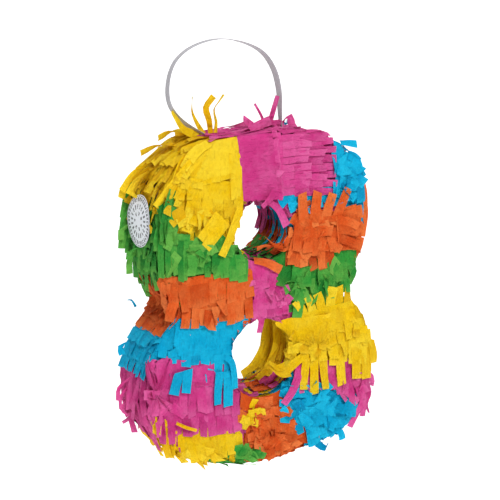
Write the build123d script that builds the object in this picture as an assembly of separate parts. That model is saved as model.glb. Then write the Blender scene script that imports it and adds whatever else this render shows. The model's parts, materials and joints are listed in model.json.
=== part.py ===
from build123d import *
import math
import os

# A number-eight pinata: a card box in the shape of an 8, covered with tissue fringe, on a strap loop.
# Millimetres. It is laid out with X to the right, Z up and Y towards the back, with Z = 0 at the
# lowest fringe, and is then moved so that the origin is where a hook bears on the strap.

# ---- card box: outline of the 8 ----
UPPER_SIDE_X = 46.0      # centre of the arc that rounds each shoulder of the upper lobe
UPPER_SIDE_Z = 303.0
UPPER_SIDE_R = 88.0
UPPER_STRAIGHT = 27.0    # upright run of the side, below the shoulder's arc
UPPER_CAP_R = 600.0      # the nearly flat arc over the top
LOWER_SIDE_X = 54.0
LOWER_SIDE_Z = 112.0
LOWER_SIDE_R = 94.0
LOWER_STRAIGHT = 0.0
LOWER_CAP_R = 240.0      # the flatter arc under the bottom
WAIST_R = 26.0           # rounding of the notch between the lobes
WAIST_Z = (180.0, 220.0)     # heights between which the two lobes' sides cross
WAIST_X = 61.0               # the crossings lie outside this
UPPER_HOLE_Z = 285.0
UPPER_HOLE_R = 41.0
LOWER_HOLE_Z = 132.0
LOWER_HOLE_R = 46.5
LOWER_HOLE_STRAIGHT = 11.0   # straight run between the two round ends of the lower hole

# ---- card box: sheet sizes ----
BOX_HALF_DEPTH = 34.0
PANEL_T = 3.0            # corrugated front and back panels
WALL_T = 2.0             # solid card walls between them
TAPE_T = 0.4
TAPE_ON_WALL = 14.0      # how far a seam tape reaches over the wall
TAPE_ON_PANEL = 8.0
JOINT_Z = (362.0, 199.0, 40.0)   # heights where the wall strips butt together
JOINT_TAPE_HALF = 12.0
JOINT_TAPE_HALF_DEPTH = 25.0

# ---- fringe: thickness of the fluffed tissue over the card ----
FRINGE_SIDE = 7.0
FRINGE_FACE = 6.0
FRINGE_HOLE = 6.0
FAR = 200.0              # beyond every side of the 8
ABOVE = 430.0            # above the card and the fringe
BELOW = -30.0

# ---- fill flap in the upper left wall ----
LEFT_SIDE = -60.0        # everything of the flap lies to the left of this
FLAP_HALF_WIDTH = 28.0
FLAP_LOW_Z = 270.0
FLAP_HINGE_Z = 345.0
FLAP_GAP = 0.5
FLAP_FRINGE_CLEAR = 4.0      # bare band above the crease, so that the open flap meets no fringe
FLAP_FRINGE_TOP_Z = 333.5
SEAL_Z = 303.0
SEAL_R = 30.0
SEAL_T = 0.3
SEAL_LIFT = 0.2

# ---- strap loop ----
STRAP_WIDTH = 9.0
STRAP_T = 0.8
STRAP_HINGE_Z = 407.0    # the strap bends here when the pinata swings
STRAP_HINGE_GAP = 4.8    # bare band each side of the bend, a little over half the band's width
SLIT_MARGIN = 0.5
SLIT_ZONES = ((-66.0, -37.0), (40.0, 52.0))   # where the strap comes up through the card
FRINGE_MARGIN = 2.0
STIFFENER_T = 1.5
STIFFENER_HALF_LENGTH = 72.0
STIFFENER_HALF_DEPTH = 22.0
HOOK_X = -36.0
STRAP_ROUTE = [
    (-9, 388.8),
    (-40, 387.3),
    (-62, 397.5),
    (-92, 418),
    (-105, 441),
    (-99, 477),
    (-79, 495.5),
    (-50, 505),
    (-22, 505),
    (17, 492),
    (36, 468),
    (43, 440),
    (43.5, 415),
    (44.7, 400),
    (45, 387.1),
    (12, 388.7),
]
TAIL_BEND_R = 2.5        # tight folds where the tails turn under the stiffener

# ---- staples ----
STAPLE_X = (-22.0, 24.0)
STAPLE_HALF = 6.2
STAPLE_WIRE = 0.7
STAPLE_CLINCH = 3.0
CLINCH_GAP = 0.05        # between the folded ends and the card
STAPLE_HOLE = 1.1
STAPLE_CUT = (-6.0, 2.0)     # the punctures' depth, from below the stiffener to above the card
STAPLE_DROP = 2.6        # room for the tail between the stiffener and the crown
CLINCH_ROOM = (1.5, 8.0, 1.6)    # half length, half width and height kept free of fringe

# ---- mosaic of tissue colours: outline corners (x, z), the same on the front and the back ----
MOSAIC = {
    "yellow_top_left": [(-25, 430), (-22, 318), (0, 285), (-35, 260), (-95, 300), (-FAR, 342), (-FAR, 430)],
    "pink_top_right": [(-25, 430), (-22, 318), (0, 285), (18, 328), (98, 326), (103, 430)],
    "cyan_right": [(103, 430), (98, 326), (18, 328), (0, 285), (50, 298), (100, 305), (FAR, 300),
                   (FAR, 430)],
    "orange_right": [(0, 285), (50, 298), (100, 305), (FAR, 300), (FAR, 252), (110, 236), (50, 240)],
    "green_right": [(0, 285), (50, 240), (110, 236), (FAR, 252), (FAR, 200), (92, 197), (50, 173), (32, 212)],
    "pink_centre": [(0, 285), (32, 212), (50, 173), (0, 132), (-15, 180), (-20, 235)],
    "green_left": [(0, 285), (-35, 260), (-95, 300), (-FAR, 342), (-FAR, 250), (-80, 235), (-20, 235)],
    "orange_left": [(-20, 235), (-80, 235), (-FAR, 250), (-FAR, 190), (-85, 184), (-15, 180)],
    "cyan_left": [(-15, 180), (-85, 184), (-FAR, 190), (-FAR, 141), (-108, 144), (-48, 116), (0, 132)],
    "pink_left": [(0, 132), (-48, 116), (-108, 144), (-FAR, 141), (-FAR, 74), (-103, 52), (-31, 50)],
    "yellow_bottom_left": [(-31, 50), (-103, 52), (-FAR, 74), (-FAR, -30), (-104, -30), (-78, 15), (-26, 15)],
    "green_bottom": [(-26, 15), (-78, 15), (-104, -30), (-26, -30)],
    "yellow_bottom": [(0, 132), (-31, 50), (16, 84)],
    "orange_bottom": [(16, 84), (-31, 50), (-26, 15), (-26, -30), (70, -30), (84, 12), (40, 50)],
    "cyan_bottom_right": [(0, 132), (16, 84), (40, 50), (84, 12), (70, -30), (FAR, -30), (FAR, 60), (56, 106)],
    "pink_right": [(0, 132), (56, 106), (FAR, 60), (FAR, 122), (122, 112)],
    "yellow_right": [(0, 132), (122, 112), (FAR, 122), (FAR, 200), (92, 197), (50, 173)],
}


# ---- plane and slab helpers ----
def slab(sketch, y_front, y_back):
    """A sketch drawn in X and Z, given thickness from y_front to y_back."""
    plane = Plane(origin=(0, y_back, 0), x_dir=(1, 0, 0), z_dir=(0, -1, 0))
    return extrude(plane * sketch, amount=y_back - y_front)


def block(x_low, x_high, y_low, y_high, z_low, z_high):
    """A box by its faces."""
    centre = Pos((x_low + x_high) / 2, (y_low + y_high) / 2, (z_low + z_high) / 2)
    return centre * Box(x_high - x_low, y_high - y_low, z_high - z_low)


def lobe(side_x, side_z, side_r, straight, cap_r, outward, grow):
    """One lobe: rounded sides and a cap arc tangent to both; outward is 1 for a cap on top, -1 below."""
    cap_z = side_z - outward * math.sqrt((cap_r - side_r) ** 2 - side_x**2)
    reach = (cap_r + grow) / (cap_r - side_r)
    tangent_x = side_x * reach
    tangent_z = cap_z + (side_z - cap_z) * reach
    round_r = side_r + grow
    widest = side_x + round_r
    low_z = side_z - outward * straight
    inner_z = low_z - outward * round_r
    diagonal = round_r * math.sqrt(0.5)
    corner = (side_x + diagonal, low_z - outward * diagonal)
    angle = (math.atan2(outward * (tangent_z - side_z), tangent_x - side_x)) / 2
    shoulder = (side_x + round_r * math.cos(angle), side_z + outward * round_r * math.sin(angle))
    right = [(tangent_x, tangent_z), shoulder, (widest, side_z), (widest, low_z), corner, (side_x, inner_z)]
    left = [(-x, z) for x, z in right]
    edges = [ThreePointArc(left[0], (0, cap_z + outward * (cap_r + grow)), right[0])]
    for start, middle, end, start_low, corner_low, end_low in (right, left):
        edges.append(ThreePointArc(start, middle, end))
        if straight > 0:
            edges.append(Line(end, start_low))
        edges.append(ThreePointArc(start_low, corner_low, end_low))
    edges.append(Line(left[5], right[5]))
    return make_face(edges)


def eight(grow):
    """The outline of the 8 without its holes, offset outward by grow."""
    upper = lobe(UPPER_SIDE_X, UPPER_SIDE_Z, UPPER_SIDE_R, UPPER_STRAIGHT, UPPER_CAP_R, 1, grow)
    lower = lobe(LOWER_SIDE_X, LOWER_SIDE_Z, LOWER_SIDE_R, LOWER_STRAIGHT, LOWER_CAP_R, -1, grow)
    both = upper + lower
    low, high = WAIST_Z
    waist = [v for v in both.vertices() if abs(v.X) > WAIST_X and low < v.Y < high]
    return fillet(waist, WAIST_R - grow)


def holes(grow):
    """The two holes through the 8, offset outward by grow."""
    upper = Pos(0, UPPER_HOLE_Z) * Circle(UPPER_HOLE_R + grow)
    length = LOWER_HOLE_STRAIGHT + 2 * (LOWER_HOLE_R + grow)
    lower = Pos(0, LOWER_HOLE_Z) * Rot(0, 0, 90) * SlotOverall(length, 2 * (LOWER_HOLE_R + grow))
    return upper, lower


def on_top_wall(x):
    """A place on the outside of the top wall over x, with its own Z square to the wall."""
    cap_z = UPPER_SIDE_Z - math.sqrt((UPPER_CAP_R - UPPER_SIDE_R) ** 2 - UPPER_SIDE_X**2)
    tilt = math.degrees(math.asin(x / UPPER_CAP_R))
    return Pos(0, 0, cap_z) * Rot(0, tilt, 0) * Pos(0, 0, UPPER_CAP_R)


# ---- the strap's band ----
def bend_radii(route):
    """The largest arc that each corner's two runs allow, or the tails' tight fold."""
    radii = []
    for before, corner, after in zip(route, route[1:], route[2:]):
        run_in = Vector(*corner) - Vector(*before)
        run_out = Vector(*after) - Vector(*corner)
        turn = math.radians(run_in.get_angle(run_out))
        largest = 0.45 * min(run_in.length, run_out.length) / math.tan(turn / 2)
        tail = corner in (STRAP_ROUTE[1], STRAP_ROUTE[-2])
        radii.append(TAIL_BEND_R if tail else largest)
    return radii


def band(thickness, width):
    """The whole strap as one flat band of the given section along the route."""
    path = FilletPolyline(*STRAP_ROUTE, radius=bend_radii(STRAP_ROUTE))
    profile = trace(path, line_width=thickness)
    return slab(profile, -width / 2, width / 2)


# ---- card box ----
def panel(y_front, y_back):
    """A front or back panel: the 8 with its two holes."""
    upper, lower = holes(0)
    return slab(eight(0) - upper - lower, y_front, y_back)


def wall_ring(outer, inner, half_depth):
    """A closed strip that follows the outline between two offsets."""
    return slab(eight(outer) - eight(inner), -half_depth, half_depth)


def outer_walls():
    """The wall strips round the outside, butted at the joint heights, before cut-outs."""
    inside = BOX_HALF_DEPTH - PANEL_T
    ring = wall_ring(0, -WALL_T, inside)
    top, waist, bottom = JOINT_Z
    zones = {
        "top_wall": (-FAR, FAR, top, ABOVE),
        "upper_left_wall": (-FAR, 0, waist, top),
        "upper_right_wall": (0, FAR, waist, top),
        "lower_left_wall": (-FAR, 0, bottom, waist),
        "lower_right_wall": (0, FAR, bottom, waist),
        "bottom_wall": (-FAR, FAR, BELOW, bottom),
    }
    return {
        name: ring & block(x_low, x_high, -inside, inside, z_low, z_high)
        for name, (x_low, x_high, z_low, z_high) in zones.items()
    }


def hole_walls():
    """The card tubes that line the two holes between the panels."""
    inside = BOX_HALF_DEPTH - PANEL_T
    names = ("upper_hole_wall", "lower_hole_wall")
    return {
        name: slab(outer - inner, -inside, inside)
        for name, outer, inner in zip(names, holes(WALL_T), holes(0))
    }


def edge_tape(toward):
    """The seam tape round the outer edge of one panel; toward is -1 at the front, 1 at the back."""
    face = toward * BOX_HALF_DEPTH
    spans = [sorted((face - toward * TAPE_ON_WALL, face)), sorted((face, face + toward * TAPE_T))]
    over_wall = slab(eight(TAPE_T) - eight(0), *spans[0])
    over_panel = slab(eight(TAPE_T) - eight(-TAPE_ON_PANEL), *spans[1])
    return over_wall + over_panel


def hole_tapes(toward):
    """The two seam tapes round the holes in one panel."""
    face = toward * BOX_HALF_DEPTH
    spans = [sorted((face - toward * TAPE_ON_WALL, face)), sorted((face, face + toward * TAPE_T))]
    tapes = []
    for edge, inside, outside in zip(holes(0), holes(-TAPE_T), holes(TAPE_ON_PANEL)):
        tapes.append(slab(edge - inside, *spans[0]) + slab(outside - inside, *spans[1]))
    return tapes


def joint_tapes():
    """Short tapes inside the box over the butt joints of the wall strips."""
    ring = wall_ring(-WALL_T, -WALL_T - TAPE_T, JOINT_TAPE_HALF_DEPTH)
    tapes = []
    for height in JOINT_Z:
        for x_low, x_high in ((-FAR, 0), (0, FAR)):
            depth = JOINT_TAPE_HALF_DEPTH
            zone = block(x_low, x_high, -depth, depth, height - JOINT_TAPE_HALF, height + JOINT_TAPE_HALF)
            tapes += (ring & zone).solids()
    return tapes


# ---- fill flap ----
def flap_window(margin, z_high):
    """The space of the fill opening in the left wall, shrunk by a margin on its free sides."""
    half = FLAP_HALF_WIDTH - margin
    return block(-FAR, LEFT_SIDE, -half, half, FLAP_LOW_Z + margin, z_high)


def flap_pieces():
    """The card flap, the tissue fringe on it, and the round seal over both."""
    inside = BOX_HALF_DEPTH - PANEL_T
    card = wall_ring(0, -WALL_T, inside) & flap_window(FLAP_GAP, FLAP_HINGE_Z)
    fringe = wall_ring(FRINGE_SIDE, TAPE_T, inside) & flap_window(FLAP_GAP, FLAP_FRINGE_TOP_Z)
    lift = FRINGE_SIDE + SEAL_LIFT
    reach = FAR + LEFT_SIDE
    disc = Pos(LEFT_SIDE - reach / 2, 0, SEAL_Z) * Rot(0, 90, 0) * Cylinder(SEAL_R, reach)
    seal = wall_ring(lift + SEAL_T, lift, BOX_HALF_DEPTH) & disc
    return {"fill_flap": card, "flap_fringe": fringe, "seal_sticker": seal}


# ---- strap fixings ----
def stiffener():
    """A second layer of card under the top wall, which spreads the strap's pull."""
    ring = wall_ring(-WALL_T, -WALL_T - STIFFENER_T, STIFFENER_HALF_DEPTH)
    half = STIFFENER_HALF_LENGTH
    depth = STIFFENER_HALF_DEPTH
    return ring & block(-half, half, -depth, depth, JOINT_Z[0], ABOVE)


def staple(x):
    """A clinched staple astride the strap's tail, through the stiffener and the top wall."""
    wire = STAPLE_WIRE
    half = STAPLE_HALF + wire / 2
    crown_z = -WALL_T - STIFFENER_T - STAPLE_DROP
    parts = [block(-wire / 2, wire / 2, -half, half, crown_z - wire, crown_z)]
    for side in (-1, 1):
        leg_low, leg_high = sorted((side * (half - wire), side * half))
        clinch_low, clinch_high = sorted((side * (half - STAPLE_CLINCH), side * half))
        parts.append(block(-wire / 2, wire / 2, leg_low, leg_high, crown_z - wire, wire))
        parts.append(block(-wire / 2, wire / 2, clinch_low, clinch_high, CLINCH_GAP, wire))
    body = parts[0]
    for part in parts[1:]:
        body += part
    return on_top_wall(x) * body


def staple_holes(x):
    """The two punctures that a staple makes, longer than the card is thick."""
    half = STAPLE_HOLE / 2
    low, high = STAPLE_CUT
    cuts = []
    for side in (-1, 1):
        centre = side * STAPLE_HALF
        cuts.append(on_top_wall(x) * block(-half, half, centre - half, centre + half, low, high))
    return cuts


# ---- fringe ----
def fringe_patches(keep_clear):
    """One closed sleeve of tissue for each colour area, round the card on all its sides."""
    lined = holes(-FRINGE_HOLE)
    taped = holes(-TAPE_T)
    depth = BOX_HALF_DEPTH + FRINGE_FACE
    envelope = slab(eight(FRINGE_SIDE) - lined[0] - lined[1], -depth, depth)
    core_depth = BOX_HALF_DEPTH + TAPE_T
    core = slab(eight(TAPE_T) - taped[0] - taped[1], -core_depth, core_depth)
    skin = envelope - core
    for space in keep_clear:
        skin -= space
    patches = {}
    for name, corners in MOSAIC.items():
        area = make_face(Polyline(*corners, close=True))
        patches["fringe_" + name] = skin & slab(area, -depth, depth)
    return patches


# ---- the whole pinata ----
def build():
    parts = {
        "front_panel": panel(-BOX_HALF_DEPTH, PANEL_T - BOX_HALF_DEPTH),
        "back_panel": panel(BOX_HALF_DEPTH - PANEL_T, BOX_HALF_DEPTH),
        "front_edge_tape": edge_tape(-1),
        "back_edge_tape": edge_tape(1),
        "front_hole_tapes": hole_tapes(-1),
        "back_hole_tapes": hole_tapes(1),
        "wall_joint_tapes": joint_tapes(),
    }
    parts.update(hole_walls())
    walls = outer_walls()
    opening = flap_window(0, FLAP_HINGE_Z + FLAP_GAP)
    walls["upper_left_wall"] -= opening
    parts["front_edge_tape"] -= opening
    parts["back_edge_tape"] -= opening

    strap_slit = band(STRAP_T + 2 * SLIT_MARGIN, STRAP_WIDTH + 2 * SLIT_MARGIN)
    stiff = stiffener()
    for x_low, x_high in SLIT_ZONES:
        slit = strap_slit & block(x_low, x_high, -STRAP_WIDTH, STRAP_WIDTH, JOINT_Z[0], ABOVE)
        stiff -= slit
        walls["top_wall"] -= slit
    for x in STAPLE_X:
        for cut in staple_holes(x):
            stiff -= cut
            walls["top_wall"] -= cut
    parts.update(walls)
    parts["strap_stiffener"] = stiff
    parts["strap_staples"] = [staple(x) for x in STAPLE_X]

    strap = band(STRAP_T, STRAP_WIDTH)
    strap_top = max(z for x, z in STRAP_ROUTE) + STRAP_T
    loop_low = STRAP_HINGE_Z + STRAP_HINGE_GAP
    tail_high = STRAP_HINGE_Z - STRAP_HINGE_GAP
    parts["strap_loop"] = strap & block(-FAR, FAR, -STRAP_WIDTH, STRAP_WIDTH, loop_low, strap_top)
    parts["left_strap_tail"] = strap & block(-FAR, 0, -STRAP_WIDTH, STRAP_WIDTH, JOINT_Z[0], tail_high)
    parts["right_strap_tail"] = strap & block(0, FAR, -STRAP_WIDTH, STRAP_WIDTH, JOINT_Z[0], tail_high)

    parts.update(flap_pieces())
    strap_space = band(STRAP_T + 2 * FRINGE_MARGIN, STRAP_WIDTH + 2 * FRINGE_MARGIN)
    length, width, height = CLINCH_ROOM
    clinch_room = block(-length, length, -width, width, -1, height)
    keep_clear = [strap_space, flap_window(0, FLAP_HINGE_Z + FLAP_FRINGE_CLEAR)]
    keep_clear += [on_top_wall(x) * clinch_room for x in STAPLE_X]
    parts.update(fringe_patches(keep_clear))
    return parts


def export(parts):
    os.makedirs("parts", exist_ok=True)
    hook = Pos(-HOOK_X, 0, -(max(z for x, z in STRAP_ROUTE) - STRAP_T / 2))
    for name, shape in parts.items():
        solids = []
        for piece in shape if isinstance(shape, list) else [shape]:
            solids += (hook * piece).solids()
        export_step(solids[0] if len(solids) == 1 else Compound(solids), f"parts/{name}.step")


print("strap bend radii:", [round(r, 1) for r in bend_radii(STRAP_ROUTE)])
export(build())
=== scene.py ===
import json
import math
import random

import bpy
import bmesh
from mathutils import Matrix, Vector, noise
from mathutils.bvhtree import BVHTree


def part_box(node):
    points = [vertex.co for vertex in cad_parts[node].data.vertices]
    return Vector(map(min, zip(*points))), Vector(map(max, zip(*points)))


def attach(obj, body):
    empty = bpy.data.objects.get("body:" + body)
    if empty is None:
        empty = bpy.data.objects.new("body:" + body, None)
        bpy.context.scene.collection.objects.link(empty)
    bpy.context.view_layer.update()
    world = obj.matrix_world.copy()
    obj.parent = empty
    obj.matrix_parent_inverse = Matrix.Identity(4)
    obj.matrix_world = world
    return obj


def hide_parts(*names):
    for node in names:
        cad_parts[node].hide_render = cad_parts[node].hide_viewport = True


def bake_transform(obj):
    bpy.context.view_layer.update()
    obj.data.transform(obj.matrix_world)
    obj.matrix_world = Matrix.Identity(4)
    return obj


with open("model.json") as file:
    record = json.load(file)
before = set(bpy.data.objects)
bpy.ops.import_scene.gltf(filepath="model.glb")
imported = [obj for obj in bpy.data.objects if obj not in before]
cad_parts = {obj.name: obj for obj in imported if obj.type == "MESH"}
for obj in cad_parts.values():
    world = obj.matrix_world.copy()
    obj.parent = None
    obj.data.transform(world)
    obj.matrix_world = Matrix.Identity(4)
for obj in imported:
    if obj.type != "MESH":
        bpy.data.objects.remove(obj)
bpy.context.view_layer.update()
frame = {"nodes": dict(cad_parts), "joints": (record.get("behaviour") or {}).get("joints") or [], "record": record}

# The figure-eight pinata: tissue fringe, strap, seal and studio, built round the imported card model.
# Shapes are drawn in millimetres in the drawing frame: X from the middle of the 8, Z up from its
# lowest fringe, Y towards the back. row() turns a drawing point into the row frame, in metres.

FRINGE_NODES = [name for name in frame["nodes"] if name.startswith("fringe_")]


def drawing_origin():
    """The drawing frame's origin in the row frame, in metres."""
    low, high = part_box("front_panel")
    return Vector(((low.x + high.x) / 2, 0, min(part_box(name)[0].z for name in FRINGE_NODES)))


ORIGIN = drawing_origin()


def row(point):
    return Vector(point) / 1000 + ORIGIN


def drawing(point):
    return (Vector(point) - ORIGIN) * 1000


def drawing_box(node):
    low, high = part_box(node)
    return drawing(low), drawing(high)


def joint_place(name):
    """A hinge's place in the row frame, in metres."""
    joint = next(j for j in frame["joints"] if j["name"] == name)
    return Vector(joint["pos_m"])


def add_object(name, data):
    thing = bpy.data.objects.new(name, data)
    bpy.context.scene.collection.objects.link(thing)
    return thing


# ---- the card's shape, as a distance ----
# each lobe: shoulder arc's centre x and z, its radius, the upright run beside it, the cap's radius
UPPER_LOBE = (46.0, 303.0, 88.0, 27.0, 600.0)
LOWER_LOBE = (54.0, 112.0, 94.0, 0.0, 240.0)
WAIST_BLEND = 26.0
PANEL_LOW, PANEL_HIGH = drawing_box("front_panel")
HALF_DEPTH = -PANEL_LOW.y + 0.4
UPPER_HOLE_LOW, UPPER_HOLE_HIGH = drawing_box("upper_hole_wall")
LOWER_HOLE_LOW, LOWER_HOLE_HIGH = drawing_box("lower_hole_wall")
HOLE_WALL = 2.0
UPPER_HOLE_R = (UPPER_HOLE_HIGH.x - UPPER_HOLE_LOW.x) / 2 - HOLE_WALL
UPPER_HOLE_Z = (UPPER_HOLE_HIGH.z + UPPER_HOLE_LOW.z) / 2
LOWER_HOLE_R = (LOWER_HOLE_HIGH.x - LOWER_HOLE_LOW.x) / 2 - HOLE_WALL
LOWER_HOLE_Z = (LOWER_HOLE_HIGH.z + LOWER_HOLE_LOW.z) / 2
LOWER_HOLE_STRAIGHT = (LOWER_HOLE_HIGH.z - LOWER_HOLE_LOW.z) / 2 - HOLE_WALL - LOWER_HOLE_R
FACE_Y = HALF_DEPTH + 1      # where work on the faces is laid from
MIDDLE_Z = 200.0


def lobe_distance(x, z, lobe, outward):
    """Distance from one lobe's outline, negative inside."""
    side_x, side_z, side_r, straight, cap_r = lobe
    across = abs(x)
    along = (z - side_z) * outward
    drop = math.sqrt((cap_r - side_r) ** 2 - side_x**2)
    if along > 0 and across * drop < (along + drop) * side_x:
        return math.hypot(across, along + drop) - cap_r
    if along < 0:
        along = min(along + straight, 0)
    if across < side_x:
        return abs(along) - side_r
    return math.hypot(across - side_x, along) - side_r


def outline_distance(x, z):
    """Distance from the outside outline of the 8, negative inside, with its waist rounded."""
    upper = lobe_distance(x, z, UPPER_LOBE, 1)
    lower = lobe_distance(x, z, LOWER_LOBE, -1)
    mix = max(WAIST_BLEND - abs(upper - lower), 0) / WAIST_BLEND
    return min(upper, lower) - mix * mix * WAIST_BLEND / 4


def hole_distance(x, z):
    """Distance from the nearer hole's edge, negative in the card round it."""
    upper = UPPER_HOLE_R - math.hypot(x, z - UPPER_HOLE_Z)
    straight = max(abs(z - LOWER_HOLE_Z) - LOWER_HOLE_STRAIGHT, 0)
    lower = LOWER_HOLE_R - math.hypot(x, straight)
    return max(upper, lower)


def card_distance(p):
    """Distance of a point from the card box, negative inside."""
    flat = max(outline_distance(p[0], p[2]), hole_distance(p[0], p[2]))
    deep = abs(p[1]) - HALF_DEPTH
    if flat > 0 and deep > 0:
        return math.hypot(flat, deep)
    return max(flat, deep)


def away_from_card(p, step=0.6):
    """The distance from the card, and the direction straight away from it."""
    here = card_distance(p)
    slope = Vector((
        card_distance((p[0] + step, p[1], p[2])) - here,
        card_distance((p[0], p[1] + step, p[2])) - here,
        card_distance((p[0], p[1], p[2] + step)) - here,
    ))
    return here, slope.normalized() if slope.length > 1e-6 else Vector((0, -1, 0))


def on_card(x, z):
    return max(outline_distance(x, z), hole_distance(x, z)) < 0


# ---- which colour covers a place ----
def patch_trees():
    """A search tree of each fringe node's surface, in the row frame."""
    trees = {}
    for name in FRINGE_NODES:
        mesh = frame["nodes"][name].data
        trees[name[len("fringe_"):]] = BVHTree.FromPolygons(
            [v.co for v in mesh.vertices], [tuple(f.vertices) for f in mesh.polygons]
        )
    return trees


TREES = patch_trees()
SKIN = 6.0               # over the card, where the colour is looked up


def patch_at(point):
    """The colour patch whose CAD sleeve reaches nearest to a drawing point."""
    gap, out = away_from_card(point)
    probe = row(Vector(point) + out * (SKIN - gap))
    best, best_distance = None, 1e9
    for name, tree in TREES.items():
        hit = tree.find_nearest(probe)
        if hit[0] is not None and hit[3] < best_distance:
            best, best_distance = name, hit[3]
    return best


# ---- paper ----
class Paper:
    """One piece's growing mesh: points in drawing millimetres, faces, and each corner's UV and tone."""

    def __init__(self, name, colour):
        self.name = name
        self.colour = colour
        self.points = []
        self.faces = []
        self.uvs = []
        self.tones = []

    def grid(self, lines, tone, width, length, tip=True):
        """Faces between successive lines of points; every line has the same number of points."""
        first = len(self.points)
        across = len(lines[0])
        last = len(lines) - 1
        for line in lines:
            self.points += line
        for j in range(last):
            for i in range(across - 1):
                a = first + j * across + i
                self.faces.append((a, a + 1, a + across + 1, a + across))
                u0, u1 = width * i / (across - 1), width * (i + 1) / (across - 1)
                v0, v1 = length * j / last, length * (j + 1) / last
                self.uvs += [u0, v0, u1, v0, u1, v1, u0, v1]
                # how far along the strip each corner lies; the tissue uses it to paint each strip lighter towards
                # its tip, as painted light
                near, far = (j / last, (j + 1) / last) if tip else (0, 0)
                for along in (near, near, far, far):
                    self.tones += [tone[0], tone[1], along, 1]

    def build(self, material):
        mesh = bpy.data.meshes.new(self.name)
        mesh.from_pydata([row(p) for p in self.points], [], self.faces)
        uv = mesh.uv_layers.new(name="paper")
        uv.data.foreach_set("uv", [value / 100 for value in self.uvs])
        tone = mesh.color_attributes.new("tone", "FLOAT_COLOR", "CORNER")
        tone.data.foreach_set("color", self.tones)
        mesh.materials.append(material)
        mesh.shade_smooth()
        return add_object(self.name, mesh)


rng = random.Random(8)
DOWN = Vector((0, 0, -1))
STEP = 6.0               # between the points along a strip
EDGE_DROP = 0.3          # of a strip's edges below its middle
SWELL_SIZE = 26.0        # of the broad waves in the tissue
FOLD_SIZE = 15.0         # of the folds, which are sharper
PULL_IN = 0.75           # share of a strip's stray height taken back at each step
LAYER = 0.45             # between the strips of one row that overlap


def new_tone(spread=0.5, bias=0.0):
    """A strip's own shade, from -1 deep to 1 light about the bias (painted shade where a style sets it well below
    zero), stored from 0 to 1, and a seed.
    """
    return (0.5 + 0.5 * max(-1, min(1, rng.gauss(bias, spread)))), rng.random()


def relief(p):
    """Wrinkles that every layer shares at one place, so that the layers lie on one another."""
    p = Vector(p)
    swell = noise.noise(p / SWELL_SIZE)
    fold = noise.noise(Vector((p.x * 1.2, p.y, p.z * 0.7)) / FOLD_SIZE + Vector((7, 3, 1)))
    ridge = max(0.0, 1 - abs(fold) * 4.5)
    return 1.1 + 1.5 * swell + 1.3 * ridge * ridge


def settle(p, height):
    """A point moved straight away from the card until it clears it by height and the wrinkles."""
    gap, out = away_from_card(p)
    least = height + relief(p)
    return p + out * max(least - gap, 0)


def lay_step(p, heading, height, reach, droop, step):
    """One step of a strip lying on the card: it follows its heading, sags, and stays off the card."""
    heading = (heading + DOWN * droop * step / 10).normalized()
    q = p + heading * step
    gap, out = away_from_card(q)
    least = height + relief(q)
    if gap < least:
        q += out * (least - gap)
    elif gap > least + reach:
        q -= out * (gap - least - reach) * PULL_IN
    return q, (q - p).normalized(), out


def lay_strip(paper, left, right, heading, length, height, style):
    """A cut strip that starts at the edge left-right and runs along its heading over the card."""
    width = (right - left).length
    p = (left + right) / 2
    out = away_from_card(p)[1]
    side = (right - left).normalized()
    count = max(3, round(length / STEP))
    step = length / count
    turn = math.radians(rng.gauss(0, style["turn"])) / count
    twist = math.radians(rng.gauss(0, style["twist"])) / count
    lift = style["lift"] * rng.uniform(0.1, 1.0)
    fly = style["fly"] * rng.random() ** 3
    crease = rng.uniform(-0.6, 0.8)
    kink = rng.randrange(1, count + 3)
    kink_size = rng.gauss(0, style["kink"])
    taper = rng.uniform(0.82, 1.06)
    slant = rng.gauss(0, 0.9)
    lines = [[left, p + out * crease * 0.3, right]]
    tilt = 0.0
    for k in range(1, count + 1):
        along = k / count
        heading = Matrix.Rotation(turn, 3, out) @ heading
        if k == kink:
            heading = (heading + out * abs(kink_size)).normalized()
        if k == kink + 1:
            heading = (heading - out * abs(kink_size) * 1.4).normalized()
        p, heading, out = lay_step(
            p, heading, height + lift * along**2, 0.3 + fly * along, style["droop"], step
        )
        flat = heading.cross(out)
        side = flat.normalized() if flat.length > 0.2 else side
        if side.dot(right - left) < 0:
            side = -side
        tilt += twist
        across = Matrix.Rotation(tilt, 3, heading) @ side * (width / 2 * (1 + (taper - 1) * along))
        skew = heading * (slant if k == count else 0)
        edge = height - EDGE_DROP
        lines.append([settle(p - across - skew, edge), p + out * crease, settle(p + across + skew, edge)])
    paper.grid(lines, new_tone(style["shades"], style["bias"]), width, length)


# ---- ways of laying strips ----
# turn and twist along a strip in degrees, lift of its tip, how far it may fly off, droop, kinks in
# its heading, half width as a share of the spacing, spread of the shades, and their bias; a bias
# well below zero is painted shade, on the left outer wall and in the holes
def named_style(turn, twist, lift, fly, droop, kink, cover, shades, bias=0.0):
    return {"turn": turn, "twist": twist, "lift": lift, "fly": fly, "droop": droop, "kink": kink,
            "cover": cover, "shades": shades, "bias": bias}


FLAT = named_style(2, 0, 0.2, 0, 0.02, 0.0, 0.52, 0.3)
CALM = named_style(3, 8, 0.9, 2, 0.04, 0.06, 0.53, 0.3)
PLAIN = named_style(8, 18, 3.2, 5, 0.12, 0.22, 0.50, 0.45)
LINED = named_style(2, 5, 1.4, 2, 0.02, 0.04, 0.485, 0.3)
# painted shade: the left outer wall's strips are made deeper in tone by the bias
SHADED_SIDE = named_style(14, 30, 5.0, 13, 0.25, 0.35, 0.48, 0.5, -0.45)
SHEET = named_style(3, 8, 1.2, 2, 0.05, 0.06, 0.55, 0.25, -0.1)
# painted shade: the strips in the holes are made much deeper in tone by the bias
SHADED_HOLE = named_style(10, 20, 3.5, 5, 0.25, 0.2, 0.5, 0.35, -0.8)
LOOSE = named_style(14, 32, 5.5, 13, 0.25, 0.35, 0.48, 0.6)
WILD = named_style(26, 50, 3.4, 7, 0.16, 0.6, 0.5, 0.6)


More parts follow.
